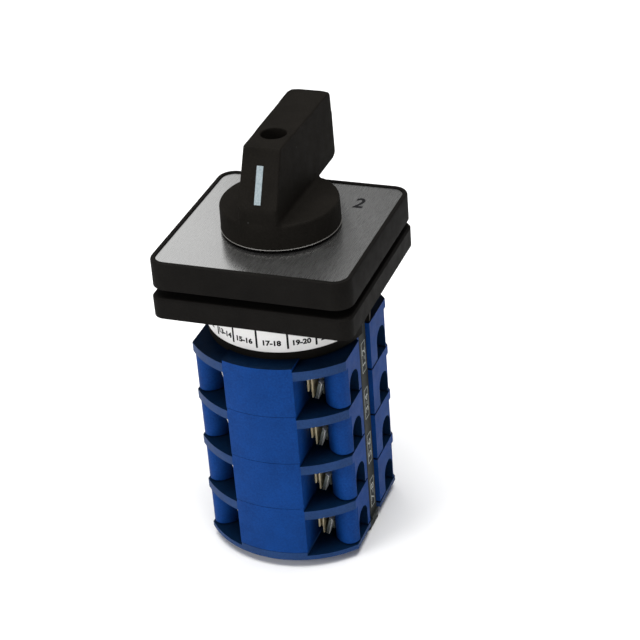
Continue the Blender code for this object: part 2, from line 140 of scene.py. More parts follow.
def prism(name, outline, low, high, axis="Z"):
    place = {
        "Z": lambda p, h: (p[0], p[1], h),
        "Y": lambda p, h: (p[0], h, p[1]),
        "X": lambda p, h: (h, p[0], p[1]),
    }[axis]
    return from_rings(name, [[place(p, h) for p in outline] for h in (low, high)])


def block(name, x, y, z):
    return prism(name, [(x[0], y[0]), (x[1], y[0]), (x[1], y[1]), (x[0], y[1])], *z)


def circle(radius, steps, centre=(0.0, 0.0), start=0.0, sweep=360.0):
    count = steps if sweep == 360.0 else steps + 1
    angles = [math.radians(start + sweep * i / steps) for i in range(count)]
    return [
        (centre[0] + radius * math.cos(a), centre[1] + radius * math.sin(a))
        for a in angles
    ]


def turned(name, profile, steps=64, centre=(0.0, 0.0)):
    rings = [[(x, y, z) for x, y in circle(r, steps, centre)] for r, z in profile]
    return from_rings(name, rings)


def turned_x(name, profile, centre, steps=32):
    """A solid of revolution about an axis along X, from (radius, x) pairs."""
    rings = [[(x, p, q) for p, q in circle(r, steps, centre)] for r, x in profile]
    return from_rings(name, rings)


def rounded_square(side, radius, steps=14):
    half = side / 2 - radius
    points = []
    for quarter, (sx, sy) in enumerate(((1, 1), (-1, 1), (-1, -1), (1, -1))):
        points += circle(radius, steps, (sx * half, sy * half), 90.0 * quarter, 90.0)
    return points


def applied(obj):
    """Replaces an object's mesh by what its modifiers make of it."""
    bpy.context.view_layer.update()
    graph = bpy.context.evaluated_depsgraph_get()
    mesh = bpy.data.meshes.new_from_object(obj.evaluated_get(graph))
    obj.modifiers.clear()
    obj.data = mesh
    return obj


def combine(target, others, operation):
    for other in others:
        other.hide_render = True
        modifier = target.modifiers.new(other.name, "BOOLEAN")
        modifier.operation = operation
        modifier.solver = "EXACT"
        modifier.object = other
    applied(target)
    for other in others:
        bpy.data.objects.remove(other, do_unlink=True)
    return target


def cut(target, *others):
    return combine(target, others, "DIFFERENCE")


def join(target, *others):
    return combine(target, others, "UNION")


def tidy(obj, angle=0.3):
    bm = bmesh.new()
    bm.from_mesh(obj.data)
    bmesh.ops.remove_doubles(bm, verts=bm.verts, dist=3e-6)
    bmesh.ops.dissolve_limit(
        bm, angle_limit=math.radians(angle), verts=bm.verts, edges=bm.edges
    )
    bm.to_mesh(obj.data)
    bm.free()
    return obj


def soften(obj, width, segments=2, angle=30.0, edge=-1):
    """Rounds the edges a little; edge is the slot of the rounding's material, which on the mouldings is a lighter
    copy painted as a highlight.
    """
    tidy(obj)
    obj.data.shade_smooth()
    modifier = obj.modifiers.new("edges", "BEVEL")
    modifier.width = width * MM
    modifier.segments = segments
    modifier.limit_method = "ANGLE"
    modifier.angle_limit = math.radians(angle)
    modifier.use_clamp_overlap = True
    modifier.harden_normals = True
    modifier.material = edge
    applied(obj)
    return obj


def smooth(obj, angle=35.0):
    obj.data.shade_smooth()
    obj.data.set_sharp_from_angle(angle=math.radians(angle))
    return obj


def stamped(source, name, sx=1, sy=1, move=(0.0, 0.0, 0.0)):
    """A copy of an object's mesh, mirrored and moved in the mesh itself."""
    mesh = source.data.copy()
    mesh.name = name
    mesh.transform(Matrix.Translation([c * MM for c in move]) @ Matrix.Diagonal((sx, sy, 1, 1)))
    if sx * sy < 0:
        mesh.flip_normals()
    return new_object(name, mesh)


def finished(obj, body, mats, slot, *nodes):
    for mat in mats:
        obj.data.materials.append(mat)
    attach(obj, body)
    if nodes:
        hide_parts(*nodes)
    return obj


def drop(obj):
    bpy.data.objects.remove(obj, do_unlink=True)


def marked(obj, index, rule):
    """Gives the faces that a rule picks by centre and normal a material slot."""
    for face in obj.data.polygons:
        if rule(*(c / MM for c in face.center), face.normal):
            face.material_index = index
    return obj


# ---- procedural finishes ---------------------------------------------------
class Finish:
    """A node-based material over the object's own coordinates."""

    def __init__(self, name, metallic=0.0, specular=0.5, coat=0.0, coat_roughness=0.1):
        self.mat = bpy.data.materials.new(name)
        self.mat.use_nodes = True
        self.tree = self.mat.node_tree
        self.shader = self.tree.nodes["Principled BSDF"]
        self.shader.inputs["Metallic"].default_value = metallic
        self.shader.inputs["Specular IOR Level"].default_value = specular
        self.shader.inputs["Coat Weight"].default_value = coat
        self.shader.inputs["Coat Roughness"].default_value = coat_roughness
        self.coords = self.tree.nodes.new("ShaderNodeTexCoord")

    def _mapped(self, size, stretch):
        mapping = self.tree.nodes.new("ShaderNodeMapping")
        mapping.inputs["Scale"].default_value = [s / (size * MM) for s in stretch]
        self.tree.links.new(self.coords.outputs["Object"], mapping.inputs["Vector"])
        return mapping.outputs["Vector"]

    def noise(self, size, detail=3.0, roughness=0.55, stretch=(1, 1, 1)):
        """Noise with features of about this many millimetres."""
        node = self.tree.nodes.new("ShaderNodeTexNoise")
        node.inputs["Scale"].default_value = 1.0
        node.inputs["Detail"].default_value = detail
        node.inputs["Roughness"].default_value = roughness
        self.tree.links.new(self._mapped(size, stretch), node.inputs["Vector"])
        return node.outputs["Fac"]

    def cells(self, size, stretch=(1, 1, 1)):
        node = self.tree.nodes.new("ShaderNodeTexVoronoi")
        node.inputs["Scale"].default_value = 1.0
        self.tree.links.new(self._mapped(size, stretch), node.inputs["Vector"])
        return node.outputs["Distance"]

    def level(self, fac, low, high, start=0.3, end=0.7):
        node = self.tree.nodes.new("ShaderNodeMapRange")
        node.inputs["From Min"].default_value = start
        node.inputs["From Max"].default_value = end
        node.inputs["To Min"].default_value = low
        node.inputs["To Max"].default_value = high
        self.tree.links.new(fac, node.inputs["Value"])
        return node.outputs["Result"]

    def shades(self, fac, *colours, start=0.3, end=0.7):
        node = self.tree.nodes.new("ShaderNodeValToRGB")
        ramp = node.color_ramp
        while len(ramp.elements) < len(colours):
            ramp.elements.new(0.5)
        for i, colour in enumerate(colours):
            ramp.elements[i].position = start + (end - start) * i / (len(colours) - 1)
        for i, colour in enumerate(colours):
            ramp.elements[i].color = (*colour, 1.0)
        self.tree.links.new(fac, node.inputs["Fac"])
        return node.outputs["Color"]

    def mix(self, fac, one, two, blend="MIX"):
        node = self.tree.nodes.new("ShaderNodeMix")
        node.data_type = "RGBA"
        node.blend_type = blend
        for socket, value in ((0, fac), (6, one), (7, two)):
            if isinstance(value, (int, float)):
                node.inputs[socket].default_value = value
            elif isinstance(value, tuple):
                node.inputs[socket].default_value = (*value, 1.0)
            else:
                self.tree.links.new(value, node.inputs[socket])
        return node.outputs[2]

    def colour(self, socket):
        self.tree.links.new(socket, self.shader.inputs["Base Color"])
        return self

    def rough(self, socket):
        self.tree.links.new(socket, self.shader.inputs["Roughness"])
        return self

    def calc(self, operation, one, two=0.0):
        node = self.tree.nodes.new("ShaderNodeMath")
        node.operation = operation
        for socket, value in zip(node.inputs, (one, two)):
            if isinstance(value, (int, float)):
                socket.default_value = value
            else:
                self.tree.links.new(value, socket)
        return node.outputs["Value"]

    def recess(self, flat, radius):
        """How deep a point lies inside two flats and a drum, in metres."""
        split = self.tree.nodes.new("ShaderNodeSeparateXYZ")
        self.tree.links.new(self.coords.outputs["Object"], split.inputs["Vector"])
        x, y = split.outputs["X"], split.outputs["Y"]
        square = self.calc("ADD", self.calc("MULTIPLY", x, x), self.calc("MULTIPLY", y, y))
        inward = self.calc("SUBTRACT", radius * MM, self.calc("SQRT", square))
        beside = self.calc("SUBTRACT", flat * MM, self.calc("ABSOLUTE", x))
        return self.calc("MINIMUM", inward, beside)

    def bumps(self, *layers):
        """Layers of (socket, strength, height in millimetres), coarse first."""
        normal = None
        for socket, strength, height in layers:
            node = self.tree.nodes.new("ShaderNodeBump")
            node.inputs["Strength"].default_value = strength
            node.inputs["Distance"].default_value = height * MM
            self.tree.links.new(socket, node.inputs["Height"])
            if normal:
                self.tree.links.new(normal, node.inputs["Normal"])
            normal = node.outputs["Normal"]
        self.tree.links.new(normal, self.shader.inputs["Normal"])
        return self


def tint(colour, factor):
    return tuple(min(1.0, c * factor) for c in colour)


def srgb(r, g, b):
    return tuple(
        c / 12.92 if c <= 0.04045 else ((c + 0.055) / 1.055) ** 2.4
        for c in (r / 255, g / 255, b / 255)
    )


def moulded(name, colour, specular, low, high, grain, depth, edge=1.0, dust=0.0, recess_shade=1.0):
    """Injection moulding: uneven tone, fine grain, sometimes dust, and insides
    that are darkened with their depth as painted shade."""
    f = Finish(name, specular=specular)
    broad = f.noise(7.0, 4.0, 0.6)
    fine = f.noise(grain, 2.0, 0.6)
    base = f.shades(broad, tint(colour, 0.86 * edge), tint(colour, edge), tint(colour, 1.13 * edge))
    speckle = f.shades(fine, (0.84, 0.84, 0.84), (1.14, 1.14, 1.14), start=0.3, end=0.72)
    base = f.mix(1.0, base, speckle, "MULTIPLY")
    # painted shade: the deeper a point lies inside the body, the darker its colour
    if recess_shade < 1.0:
        inside = f.level(f.recess(FLAT_X, 23.6), 1.0, 0.0, 0.0018, 0.0062)
        base = f.mix(1.0, base, f.shades(inside, (recess_shade, recess_shade, recess_shade), (1.0, 1.0, 1.0), start=0.0, end=1.0), "MULTIPLY")
    if dust:
        spots = f.level(f.cells(2.6), 1.0, 0.0, 0.04, 0.065)
        rare = f.level(f.noise(5.0, 1.0), 0.0, 1.0, 0.63, 0.67)
        here = f.mix(1.0, spots, rare, "MULTIPLY")
        base = f.mix(here, base, tint((1.0, 1.0, 0.98), dust))
    f.colour(base)
    f.rough(f.level(f.noise(3.0, 4.0, 0.65), low, high))
    f.bumps((f.noise(11.0, 2.0), 0.25, 0.06), (fine, depth, 0.05))
    return f.mat


def sheet_metal(name, dark, light, low, high, streak=(1.0, 1.0, 1.0), size=0.5, depth=0.2, tarnish=0.9, metallic=1.0):
    """Plated or stamped metal with streaks and slightly dull patches."""
    f = Finish(name, metallic=metallic)
    lines = f.noise(size, 3.0, 0.6, streak)
    patches = f.noise(1.6, 4.0, 0.6)
    base = f.shades(lines, dark, light)
    base = f.mix(f.level(patches, 0.0, 0.7, 0.45, 0.7), base, tint(dark, tarnish))
    f.colour(base)
    f.rough(f.level(patches, low, high))
    f.bumps((lines, depth, 0.02))
    return f.mat


BLUE = (0.0034, 0.0375, 0.1750)
# the blue mouldings carry painted shade that darkens their recesses
blue = moulded("blue_moulding", BLUE, 0.05, 0.50, 0.62, 0.45, 0.22, recess_shade=0.30)
# lighter blue for the rounded edges, a painted highlight, with painted shade in its recesses as well
blue_edge_highlight = moulded("blue_moulding_painted_edge_highlight", (0.0120, 0.0520, 0.1750), 0.16, 0.46, 0.56, 0.45, 0.15, recess_shade=0.16)
# greyer blue for the outer rim bands, a painted sheen
blue_rim_sheen = moulded("blue_moulding_rim_painted_sheen", (0.0110, 0.0390, 0.1260), 0.10, 0.48, 0.60, 0.45, 0.22)
# near-black blue for shelves and notches, painted shade
blue_painted_shade = moulded("blue_moulding_painted_shade", (0.0016, 0.0115, 0.0360), 0.04, 0.50, 0.62, 0.45, 0.22)
BLACK = (0.0068, 0.0062, 0.0056)
black = moulded("black_moulding", BLACK, 0.03, 0.56, 0.68, 0.4, 0.4, dust=0.05)
# lighter black for the rounded edges, a painted highlight
black_edge_highlight = moulded("black_moulding_painted_edge_highlight", tint(BLACK, 1.9), 0.12, 0.48, 0.58, 0.4, 0.25)
knob_black = moulded("knob_moulding", (0.0092, 0.0082, 0.0070), 0.012, 0.56, 0.68, 0.34, 0.9, dust=0.05)
# light grey for the skirt's bead, a painted glint
bead_painted_glint = moulded("painted_glint_moulding_edge", (0.15, 0.145, 0.135), 0.5, 0.26, 0.36, 0.4, 0.1)
grey = moulded("strip_moulding", (0.0200, 0.0225, 0.0200), 0.08, 0.5, 0.62, 0.5, 0.3)
natural = moulded("natural_moulding", (0.60, 0.56, 0.46), 0.45, 0.4, 0.52, 0.5, 0.15)


def print_ink(name, colour):
    f = Finish(name, specular=0.06)
    f.colour(f.shades(f.noise(0.25, 2.0), tint(colour, 0.75), tint(colour, 1.25)))
    f.rough(f.level(f.noise(0.4, 2.0), 0.4, 0.6))
    f.bumps((f.noise(0.2, 2.0), 0.1, 0.01))
    return f.mat


ink = print_ink("print_ink", (0.010, 0.010, 0.011))
pale_ink = print_ink("pale_ink", (0.40, 0.42, 0.40))


def film():
    f = Finish("label_film_white", specular=0.35, coat=0.25, coat_roughness=0.2)
    broad = f.noise(9.0, 3.0)
    fine = f.noise(0.3, 2.0)
    base = f.shades(broad, (0.745, 0.735, 0.726), (0.80, 0.791, 0.783))
    base = f.mix(1.0, base, f.shades(fine, (0.95, 0.95, 0.95), (1.0, 1.0, 1.0)), "MULTIPLY")
    f.colour(base)
    f.rough(f.level(broad, 0.36, 0.46))
    f.bumps((broad, 0.15, 0.08), (fine, 0.08, 0.01))
    return f.mat


white = film()


def brushed():
    """Sheet aluminium brushed along Y, under a thin clear lacquer."""
    f = Finish("brushed_aluminium", metallic=1.0, coat=0.3, coat_roughness=0.12)
    lines = f.noise(0.14, 3.0, 0.7, (1.0, 0.03, 1.0))
    wide = f.noise(1.1, 3.0, 0.6, (1.0, 0.04, 1.0))
    cloud = f.noise(14.0, 3.0)
    grain = f.noise(0.22, 2.0)
    base = f.shades(lines, (0.50, 0.50, 0.495), (0.56, 0.56, 0.555), (0.61, 0.61, 0.605))
    base = f.mix(f.level(wide, 0.0, 0.3), base, (0.55, 0.55, 0.545))
    base = f.mix(f.level(cloud, 0.0, 0.35), base, (0.62, 0.62, 0.61))
    base = f.mix(1.0, base, f.shades(grain, (0.88, 0.88, 0.88), (1.0, 1.0, 1.0)), "MULTIPLY")
    f.colour(base)
    f.rough(f.level(lines, 0.25, 0.31))
    f.bumps((wide, 0.02, 0.02), (lines, 0.045, 0.012))
    return f.mat


aluminium = brushed()


def inlay_paint():
    f = Finish("indicator_line", specular=0.35)
    fine = f.noise(0.35, 3.0)
    base = f.shades(fine, srgb(116, 129, 134), srgb(132, 145, 150), srgb(146, 157, 161))
    f.colour(base)
    f.rough(f.level(fine, 0.4, 0.55))
    f.bumps((fine, 0.3, 0.03))
    return f.mat


indicator_paint = inlay_paint()

brass = sheet_metal("stamped_brass", (0.66, 0.53, 0.30), (0.95, 0.87, 0.64), 0.28, 0.44, (1.0, 1.0, 0.08), 0.3, metallic=0.4)
silvered = sheet_metal("plated_contact", (0.62, 0.54, 0.46), (0.90, 0.84, 0.76), 0.2, 0.36, (1.0, 1.0, 0.08), 0.3)
zinc = sheet_metal("zinc_plating", (0.55, 0.56, 0.55), (0.84, 0.85, 0.84), 0.24, 0.4, (1.0, 0.2, 1.0), 0.4, metallic=0.6)
dull_zinc = sheet_metal("dull_plating", (0.13, 0.145, 0.13), (0.24, 0.255, 0.235), 0.34, 0.5, (1.0, 0.2, 1.0), 0.4, metallic=0.7)
steel = sheet_metal("drawn_steel", (0.40, 0.40, 0.40), (0.62, 0.62, 0.61), 0.26, 0.42, (1.0, 1.0, 0.06), 0.4)


def ground():
    f = Finish("pale_floor", specular=0.1)
    f.colour(f.shades(f.noise(180.0, 3.0), (0.905, 0.905, 0.905), (0.93, 0.93, 0.93)))
    f.rough(f.level(f.noise(60.0, 3.0), 0.85, 0.95))
    f.bumps((f.noise(2.0, 2.0), 0.02, 0.05))
    return f.mat


# ---- outlines --------------------------------------------------------------
def arc_y(x):
    return math.sqrt(ARC_R**2 - x**2) - ARC_Y


def body_outline(channel=True, steps=44):
    corner = arc_y(FLAT_X)
    right = [(FLAT_X, -corner)]
    if channel:
        slope = FLAT_X - VALLEY_DEPTH
        bed = STRIP_FACE - STRIP_T - 0.1
        half = STRIP_W / 2 + 0.12
        inner = VALLEY - VALLEY_DEPTH
        right += [(FLAT_X, -VALLEY), (slope, -inner), (slope, -half), (bed, -half)]
        right += [(bed, half), (FLAT_X, half)]
    right.append((FLAT_X, corner))
    top = []
    for i in range(1, steps):
        x = FLAT_X * (1 - 2 * i / steps)
        top.append((x, arc_y(x)))
    half_outline = right + top
    return half_outline + [(-x, -y) for x, y in half_outline]


# ---- stages and rear cover -------------------------------------------------
def lands(seam):
    found = []
    x_end = WINDOW_X - SEAM
    for s in (-1, 1):
        xs = [x_end * (2 * i / 20 - 1) for i in range(21)]
        edge = [(x, s * arc_y(x)) for x in xs]
        plan = edge + [(x_end, s * LAND_Y), (-x_end, s * LAND_Y)]
        found.append(prism("land", plan, seam - 1.0, seam + LAND - SEAM))
    return found


def land_recesses(base):
    x_end = WINDOW_X + 0.3
    return [
        block("recess", (-x_end, x_end), sorted((s * (LAND_Y - 0.2), s * 30.0)), (base - 1.0, base + LAND))
        for s in (-1, 1)
    ]


def stage_cutters():
    under = -1.0
    cutters = land_recesses(0.0) + [
        turned("cam_bore", [(CAM_BORE, under), (CAM_BORE, CEILING)], 64),
        turned("shaft_hole", [(SHAFT_HOLE_R, 5.0), (SHAFT_HOLE_R, 20.0)], 40),
        block("bridge_channel", (-CHANNEL_X, CHANNEL_X), (-CHANNEL_Y, CHANNEL_Y), (under, CEILING)),
        block("plunger_channel", (-PLUNGER_BAY_X, PLUNGER_BAY_X), (-PLUNGER_BAY_Y, PLUNGER_BAY_Y), (under, CEILING)),
    ]
    window = [
        (WINDOW_X, -CHANNEL_Y - WALL),
        (SLOT_X, -CHANNEL_Y - WALL),
        (SLOT_X, -13.4),
        (13.5, -14.2),
        (14.5, -15.0),
        (15.5, -15.5),
        (16.5, -15.7),
        (17.4, -15.45),
        (18.1, -14.95),
        (18.6, -14.25),
        (18.85, -13.5),
        (20.3, -13.5),
        (20.3, -27.0),
        (WINDOW_X, -27.0),
    ]
    notch = [(-NOTCH_R, under), (NOTCH_R, under)] + circle(NOTCH_R, 28, (0.0, TERMINAL_Z), 0.0, 180.0)
    for sx in (1, -1):
        for sy in (1, -1):
            plan = [(sx * x, sy * y) for x, y in window]
            cutters.append(prism("window", plan, under, CEILING))
            passage = (-CHANNEL_Y - WALL - 0.5, -CHANNEL_Y + 0.5)
            cutters.append(
                block("passage", sorted((sx * 9.3, sx * 10.9)), sorted(sy * y for y in passage), (under, 7.0))
            )
            face = sorted((sx * (FLAT_X - NOTCH_DEPTH), sx * 25.0))
            side = [(sy * TERMINAL_Y + y, z) for y, z in notch]
            cutters.append(prism("notch", side, *face, axis="X"))
            through = sorted((sx * (SLOT_X - 1.0), sx * (FLAT_X - NOTCH_DEPTH + 1.0)))
            hole = circle(1.9, 24, (sy * TERMINAL_Y, TERMINAL_Z))
            cutters.append(prism("screw_hole", hole, *through, axis="X"))
    for sy in (1, -1):
        cutters.append(
            turned("bolt_hole", [(BOLT_HOLE_R, under), (BOLT_HOLE_R, 20.0)], 32, (0.0, sy * BOLT_Y))
        )
    return cutters


stage = prism("stage_master", body_outline(), 0.0, PITCH - RIM_GAP)
join(stage, *lands(PITCH))
cut(stage, *stage_cutters())
soften(stage, 0.16, 2, 30.0, 1)


# picks the upward top faces that get painted shade
def is_shelf(x, y, z, normal):
    return normal.z > 0.9 and z > PITCH - RIM_GAP - 0.2 and math.hypot(x, y) < 23.9


# picks the outer rim faces that get the painted sheen
def is_rim(x, y, z, normal):
    outer = x * normal.x + y * normal.y > 15.0 and abs(normal.z) < 0.3
    return outer and CEILING < z < PITCH - RIM_GAP and abs(x) > WINDOW_X and abs(y) > 14.0


# picks the terminal notch faces that get painted shade
def is_notch(x, y, z, normal):
    across = abs(abs(y) - TERMINAL_Y) < NOTCH_R + 0.02
    return across and FLAT_X - NOTCH_DEPTH - 0.1 < abs(x) < FLAT_X - 0.3 and z < TERMINAL_Z + NOTCH_R + 0.1


# slot 2 is the rims' painted sheen, slot 3 painted shade on the top shelves and in the notches
marked(stage, 2, is_rim)
marked(stage, 3, is_shelf)
marked(stage, 3, is_notch)
for number in range(1, STAGES + 1):
    shell = stamped(stage, f"stage_{number}_housing", move=(0.0, 0.0, Z_STAGE0 + (STAGES - number) * PITCH))
    finished(shell, "switch_body", (blue, blue_edge_highlight, blue_rim_sheen, blue_painted_shade), "blue_plastic", f"stage_{number}")
drop(stage)

cover = prism("rear_cover_shell", body_outline(), Z_COVER_RIM, Z_STAGE0 - RIM_GAP)
pad = prism("pad", [(0.8 * x, 0.8 * y) for x, y in body_outline(channel=False)], 0.0, Z_COVER_RIM + 0.6)
join(cover, pad, *lands(Z_STAGE0))
cover_cutters = [turned("bearing", [(SHAFT_HOLE_R, 2.0), (SHAFT_HOLE_R, 6.0)], 40)]
for s in (1, -1):
    cover_cutters.append(turned("bolt_head", [(3.1, -1.0), (3.1, 2.0)], 32, (0.0, s * BOLT_Y)))
    cover_cutters.append(turned("bolt_hole", [(BOLT_HOLE_R, 1.0), (BOLT_HOLE_R, 6.0)], 32, (0.0, s * BOLT_Y)))
cut(cover, *cover_cutters)
soften(cover, 0.2, 2, 30.0, 1)
# cover: slot 2 painted sheen on its sides, slot 3 painted shade on its top
marked(cover, 2, lambda x, y, z, normal: z > Z_COVER_RIM and abs(normal.z) < 0.3)
marked(cover, 3, lambda x, y, z, normal: z > Z_COVER_RIM and normal.z > 0.9)
finished(cover, "switch_body", (blue, blue_edge_highlight, blue_rim_sheen, blue_painted_shade), "blue_plastic", "rear_cover")


# ---- detent housing and its label ------------------------------------------
LABEL_R = 19.42
housing = turned("detent_housing_shell", [(19.2, Z_HOUSING), (19.2, Z_PLATE - SEAM)], 144)
housing_cutters = [
    turned("cavity", [(12.2, 58.0), (12.2, 70.0)], 64),
    block("roller_bay", (-16.0, 16.0), (-2.8, 2.8), (58.0, 70.0)),
    turned("shaft_hole", [(SHAFT_HOLE_R, 50.0), (SHAFT_HOLE_R, 60.0)], 40),
] + land_recesses(Z_HOUSING)
for s in (1, -1):
    housing_cutters.append(
        block(
            "strip_channel",
            sorted((s * (STRIP_FACE - STRIP_T - 0.1), s * 22.0)),
            (-STRIP_W / 2 - 0.12, STRIP_W / 2 + 0.12),
            (50.0, 70.0),
        )
    )
    housing_cutters.append(turned("bolt_hole", [(BOLT_HOLE_R, 50.0), (BOLT_HOLE_R, 70.0)], 32, (0.0, s * BOLT_Y)))
cut(housing, *housing_cutters)
soften(housing, 0.15, 2, 30.0, 1)
finished(housing, "switch_body", (black, black_edge_highlight), "black_plastic", "detent_housing")


def bent_bar(name, r_in, r_out, start, end, low, high, steps):
    plan = circle(r_out, steps, start=start, sweep=end - start) + list(
        reversed(circle(r_in, steps, start=start, sweep=end - start))
    )
    return prism(name, plan, low, high)


label = bent_bar("rating_label_film", 19.24, LABEL_R, -168.0, -12.0, Z_LABEL, 66.4, 120)
soften(label, 0.03, 1, 40.0)
finished(label, "switch_body", (white,), "label_film", "rating_label")


def joined(name, objects):
    """Several closed meshes as one object."""
    bm = bmesh.new()
    for obj in objects:
        bm.from_mesh(obj.data)
    mesh = bpy.data.meshes.new(name)
    bm.to_mesh(mesh)
    bm.free()
    for obj in objects:
        drop(obj)
    return new_object(name, mesh)


def lettering(body, height, width=1.0, thick=0.02, weight=0.0):
    """Text as a closed mesh in the XY plane, centred, in millimetres."""
    curve = bpy.data.curves.new("lettering", "FONT")
    curve.body = body
    curve.size = 1.0
    curve.resolution_u = 4
    curve.offset = weight
    curve.extrude = 0.5
    obj = new_object("lettering", curve)
    bpy.context.view_layer.update()
    graph = bpy.context.evaluated_depsgraph_get()
    mesh = bpy.data.meshes.new_from_object(obj.evaluated_get(graph))
    drop(obj)
    co = np.empty(len(mesh.vertices) * 3)
    mesh.vertices.foreach_get("co", co)
    co = co.reshape(-1, 3)
    low, high = co.min(axis=0), co.max(axis=0)
    co[:, :2] -= (low[:2] + high[:2]) / 2
    scale = height / (high[1] - low[1])
    co[:, 0] *= scale * width
    co[:, 1] *= scale
    co[:, 2] *= thick
    mesh.vertices.foreach_set("co", (co * MM).ravel())
    mesh.materials.clear()
    bm = bmesh.new()
    bm.from_mesh(mesh)
    bmesh.ops.remove_doubles(bm, verts=bm.verts, dist=1e-7)
    bm.to_mesh(mesh)
    bm.free()
    return new_object("lettering", mesh)


def map_vertices(obj, function):
    """Moves each vertex, in millimetres."""
    for vertex in obj.data.vertices:
        vertex.co = Vector(function(*(c / MM for c in vertex.co))) * MM
    return obj


def on_drum(obj, angle, z):
    """Wraps flat lettering round the label at this angle and height."""

    def place(x, y, t):
        a = math.radians(angle) + x / LABEL_R
        r = LABEL_R + 0.012 + t
        return (r * math.cos(a), r * math.sin(a), z + y)

    return map_vertices(obj, place)


prints = []
dividers = (-150.0, -126.0, -110.0, -91.5, -70.0, -50.5, -30.0)
for angle in dividers:
    half = math.degrees(0.24 / LABEL_R)
    prints.append(
        bent_bar("divider", LABEL_R - 0.01, LABEL_R + 0.03, angle - half, angle + half, Z_LABEL + 0.9, 66.3, 2)
    )
captions = ("11-12", "13-14", "15-16", "17-18", "19-20", "21-22")
for text, a, b in zip(captions, dividers, dividers[1:]):
    prints.append(on_drum(lettering(text, 1.45, 1.1, 0.02, 0.05), (a + b) / 2, Z_LABEL + 2.4))
    if text == "19-20":
        prints.append(on_drum(lettering("0", 1.35, 1.12, 0.02, 0.035), (a + b) / 2, Z_LABEL + 4.6))
label_print = joined("rating_label_print", prints)
finished(label_print, "switch_body", (ink,), "label_film")


# ---- mounting plate, front frame and label plate ---------------------------
def ringed(name, *levels):
    return from_rings(
        name, [[(x, y, z) for x, y in rounded_square(side, radius)] for side, radius, z in levels]
    )


plate = ringed(
    "mounting_plate_shell",
    (PLATE, 3.1, Z_PLATE),
    (PLATE, 3.1, Z_PLATE_TOP - 0.5),
    (PLATE - 0.8, 2.7, Z_PLATE_TOP),
)
cut(plate, prism("hollow", rounded_square(PLATE - 4.4, 2.0), 60.0, 69.4))
join(
    plate,
    turned("hub", [(20.2, Z_PLATE), (20.2, 70.5)], 120),
    turned("boss", [(14.0, 71.0), (14.0, 77.2), (13.5, 77.7)], 80),
)
plate_cutters = [turned("shaft_hole", [(5.0, 60.0), (5.0, 80.0)], 40)]
for sy in (1, -1):
    plate_cutters.append(turned("bolt_thread", [(BOLT_HOLE_R, 60.0), (BOLT_HOLE_R, 69.5)], 32, (0.0, sy * BOLT_Y)))
    for sx in (1, -1):
        plate_cutters.append(turned("panel_screw", [(2.0, 60.0), (2.0, 75.0)], 32, (sx * 18.0, sy * 18.0)))
cut(plate, *plate_cutters)
soften(plate, 0.28, 3, 24.0, 1)
finished(plate, "switch_body", (black, black_edge_highlight), "black_plastic", "mounting_plate")

bezel = ringed(
    "front_frame_shell",
    (PLATE, 4.2, Z_FRAME),
    (PLATE - 0.1, 4.1, Z_FRAME_TOP - 0.45),
    (PLATE - 0.42, 3.95, Z_FRAME_TOP - 0.06),
    (PLATE - 0.65, 3.85, Z_FRAME_TOP),
)
cut(
    bezel,
    prism("hollow", rounded_square(PLATE - 4.4, 2.4), 70.0, 78.0),
    prism("recess", rounded_square(PLATE - 2.3, 3.1), 80.1, 85.0),
)
join(bezel, turned("collar", [(16.3, 75.0), (16.3, 79.0)], 80))
cut(
    bezel,
    turned("bore", [(14.3, 70.0), (14.3, 78.0)], 80),
    turned("hole", [(9.0, 76.0), (9.0, 84.0)], 64),
)
soften(bezel, 0.18, 2, 24.0, 1)
finished(bezel, "switch_body", (black, black_edge_highlight), "black_plastic", "front_frame")

face = prism("label_plate_sheet", rounded_square(PLATE - 2.42, 3.04), Z_LABEL_PLATE - 0.5, Z_LABEL_PLATE)
cut(face, turned("hole", [(9.0, 78.0), (9.0, 84.0)], 64))
soften(face, 0.06, 2, 30.0)
finished(face, "switch_body", (aluminium,), "aluminium", "label_plate")


def on_face(obj, x0, y0):
    return map_vertices(obj, lambda x, y, t: (x0 + x, y0 + y, Z_LABEL_PLATE + 0.012 + t))


figures = joined(
    "position_figures",
    [
        on_face(lettering("1", 4.8, 0.8, 0.02, 0.02), -14.3, 14.1),
        on_face(lettering("0", 4.2, 0.8, 0.02, 0.02), 0.0, 19.4),
        on_face(lettering("2", 4.8, 0.8, 0.02, 0.02), 14.3, 14.1),
    ],
)
finished(figures, "switch_body", (ink,), "aluminium")


# ---- side strips -----------------------------------------------------------
def side_strip(s):
    name = "side_strip_right" if s > 0 else "side_strip_left"
    outer, back = STRIP_FACE, STRIP_FACE - STRIP_T
    half = STRIP_W / 2
    plan = [
        (back, -half),
        (outer - 0.25, -half),
        (outer, -half + 0.25),
        (outer, half - 0.25),
        (outer - 0.25, half),
        (back, half),
    ]
    strip = prism(f"{name}_bar", [(s * x, y) for x, y in plan], 1.0, Z_PLATE - SEAM)
    low, high = STRIP_FOOT
    tip = STRIP_FOOT_X
    foot_plan = (
        [(15.6, low), (tip - 1.2, low)]
        + circle(1.2, 6, (tip - 1.2, low + 1.2), -90.0, 90.0)[1:]
        + circle(0.4, 3, (tip - 0.4, high - 0.4), 0.0, 90.0)
        + [(15.6, high)]
    )
    foot = prism("foot", [(s * x, s * y) for x, y in foot_plan], 0.3, Z_COVER_RIM - 0.06)
    heel = block(
        "heel",
        sorted((s * (back + 0.1), s * (tip - 0.02))),
        sorted((s * (-half + 0.1), s * (high - 0.02))),
        (1.5, Z_COVER_RIM + 0.5),
    )
    join(strip, foot, heel)
    soften(strip, 0.12, 2, 30.0)
    finished(strip, "switch_body", (grey,), "strip_plastic", name)


def on_strip(obj, s, y0, z0):
    """Stands flat lettering on a strip, reading upwards."""
    return map_vertices(
        obj, lambda x, y, t: (s * (STRIP_FACE + 0.012 + t), y0 - s * y, z0 + x)
    )


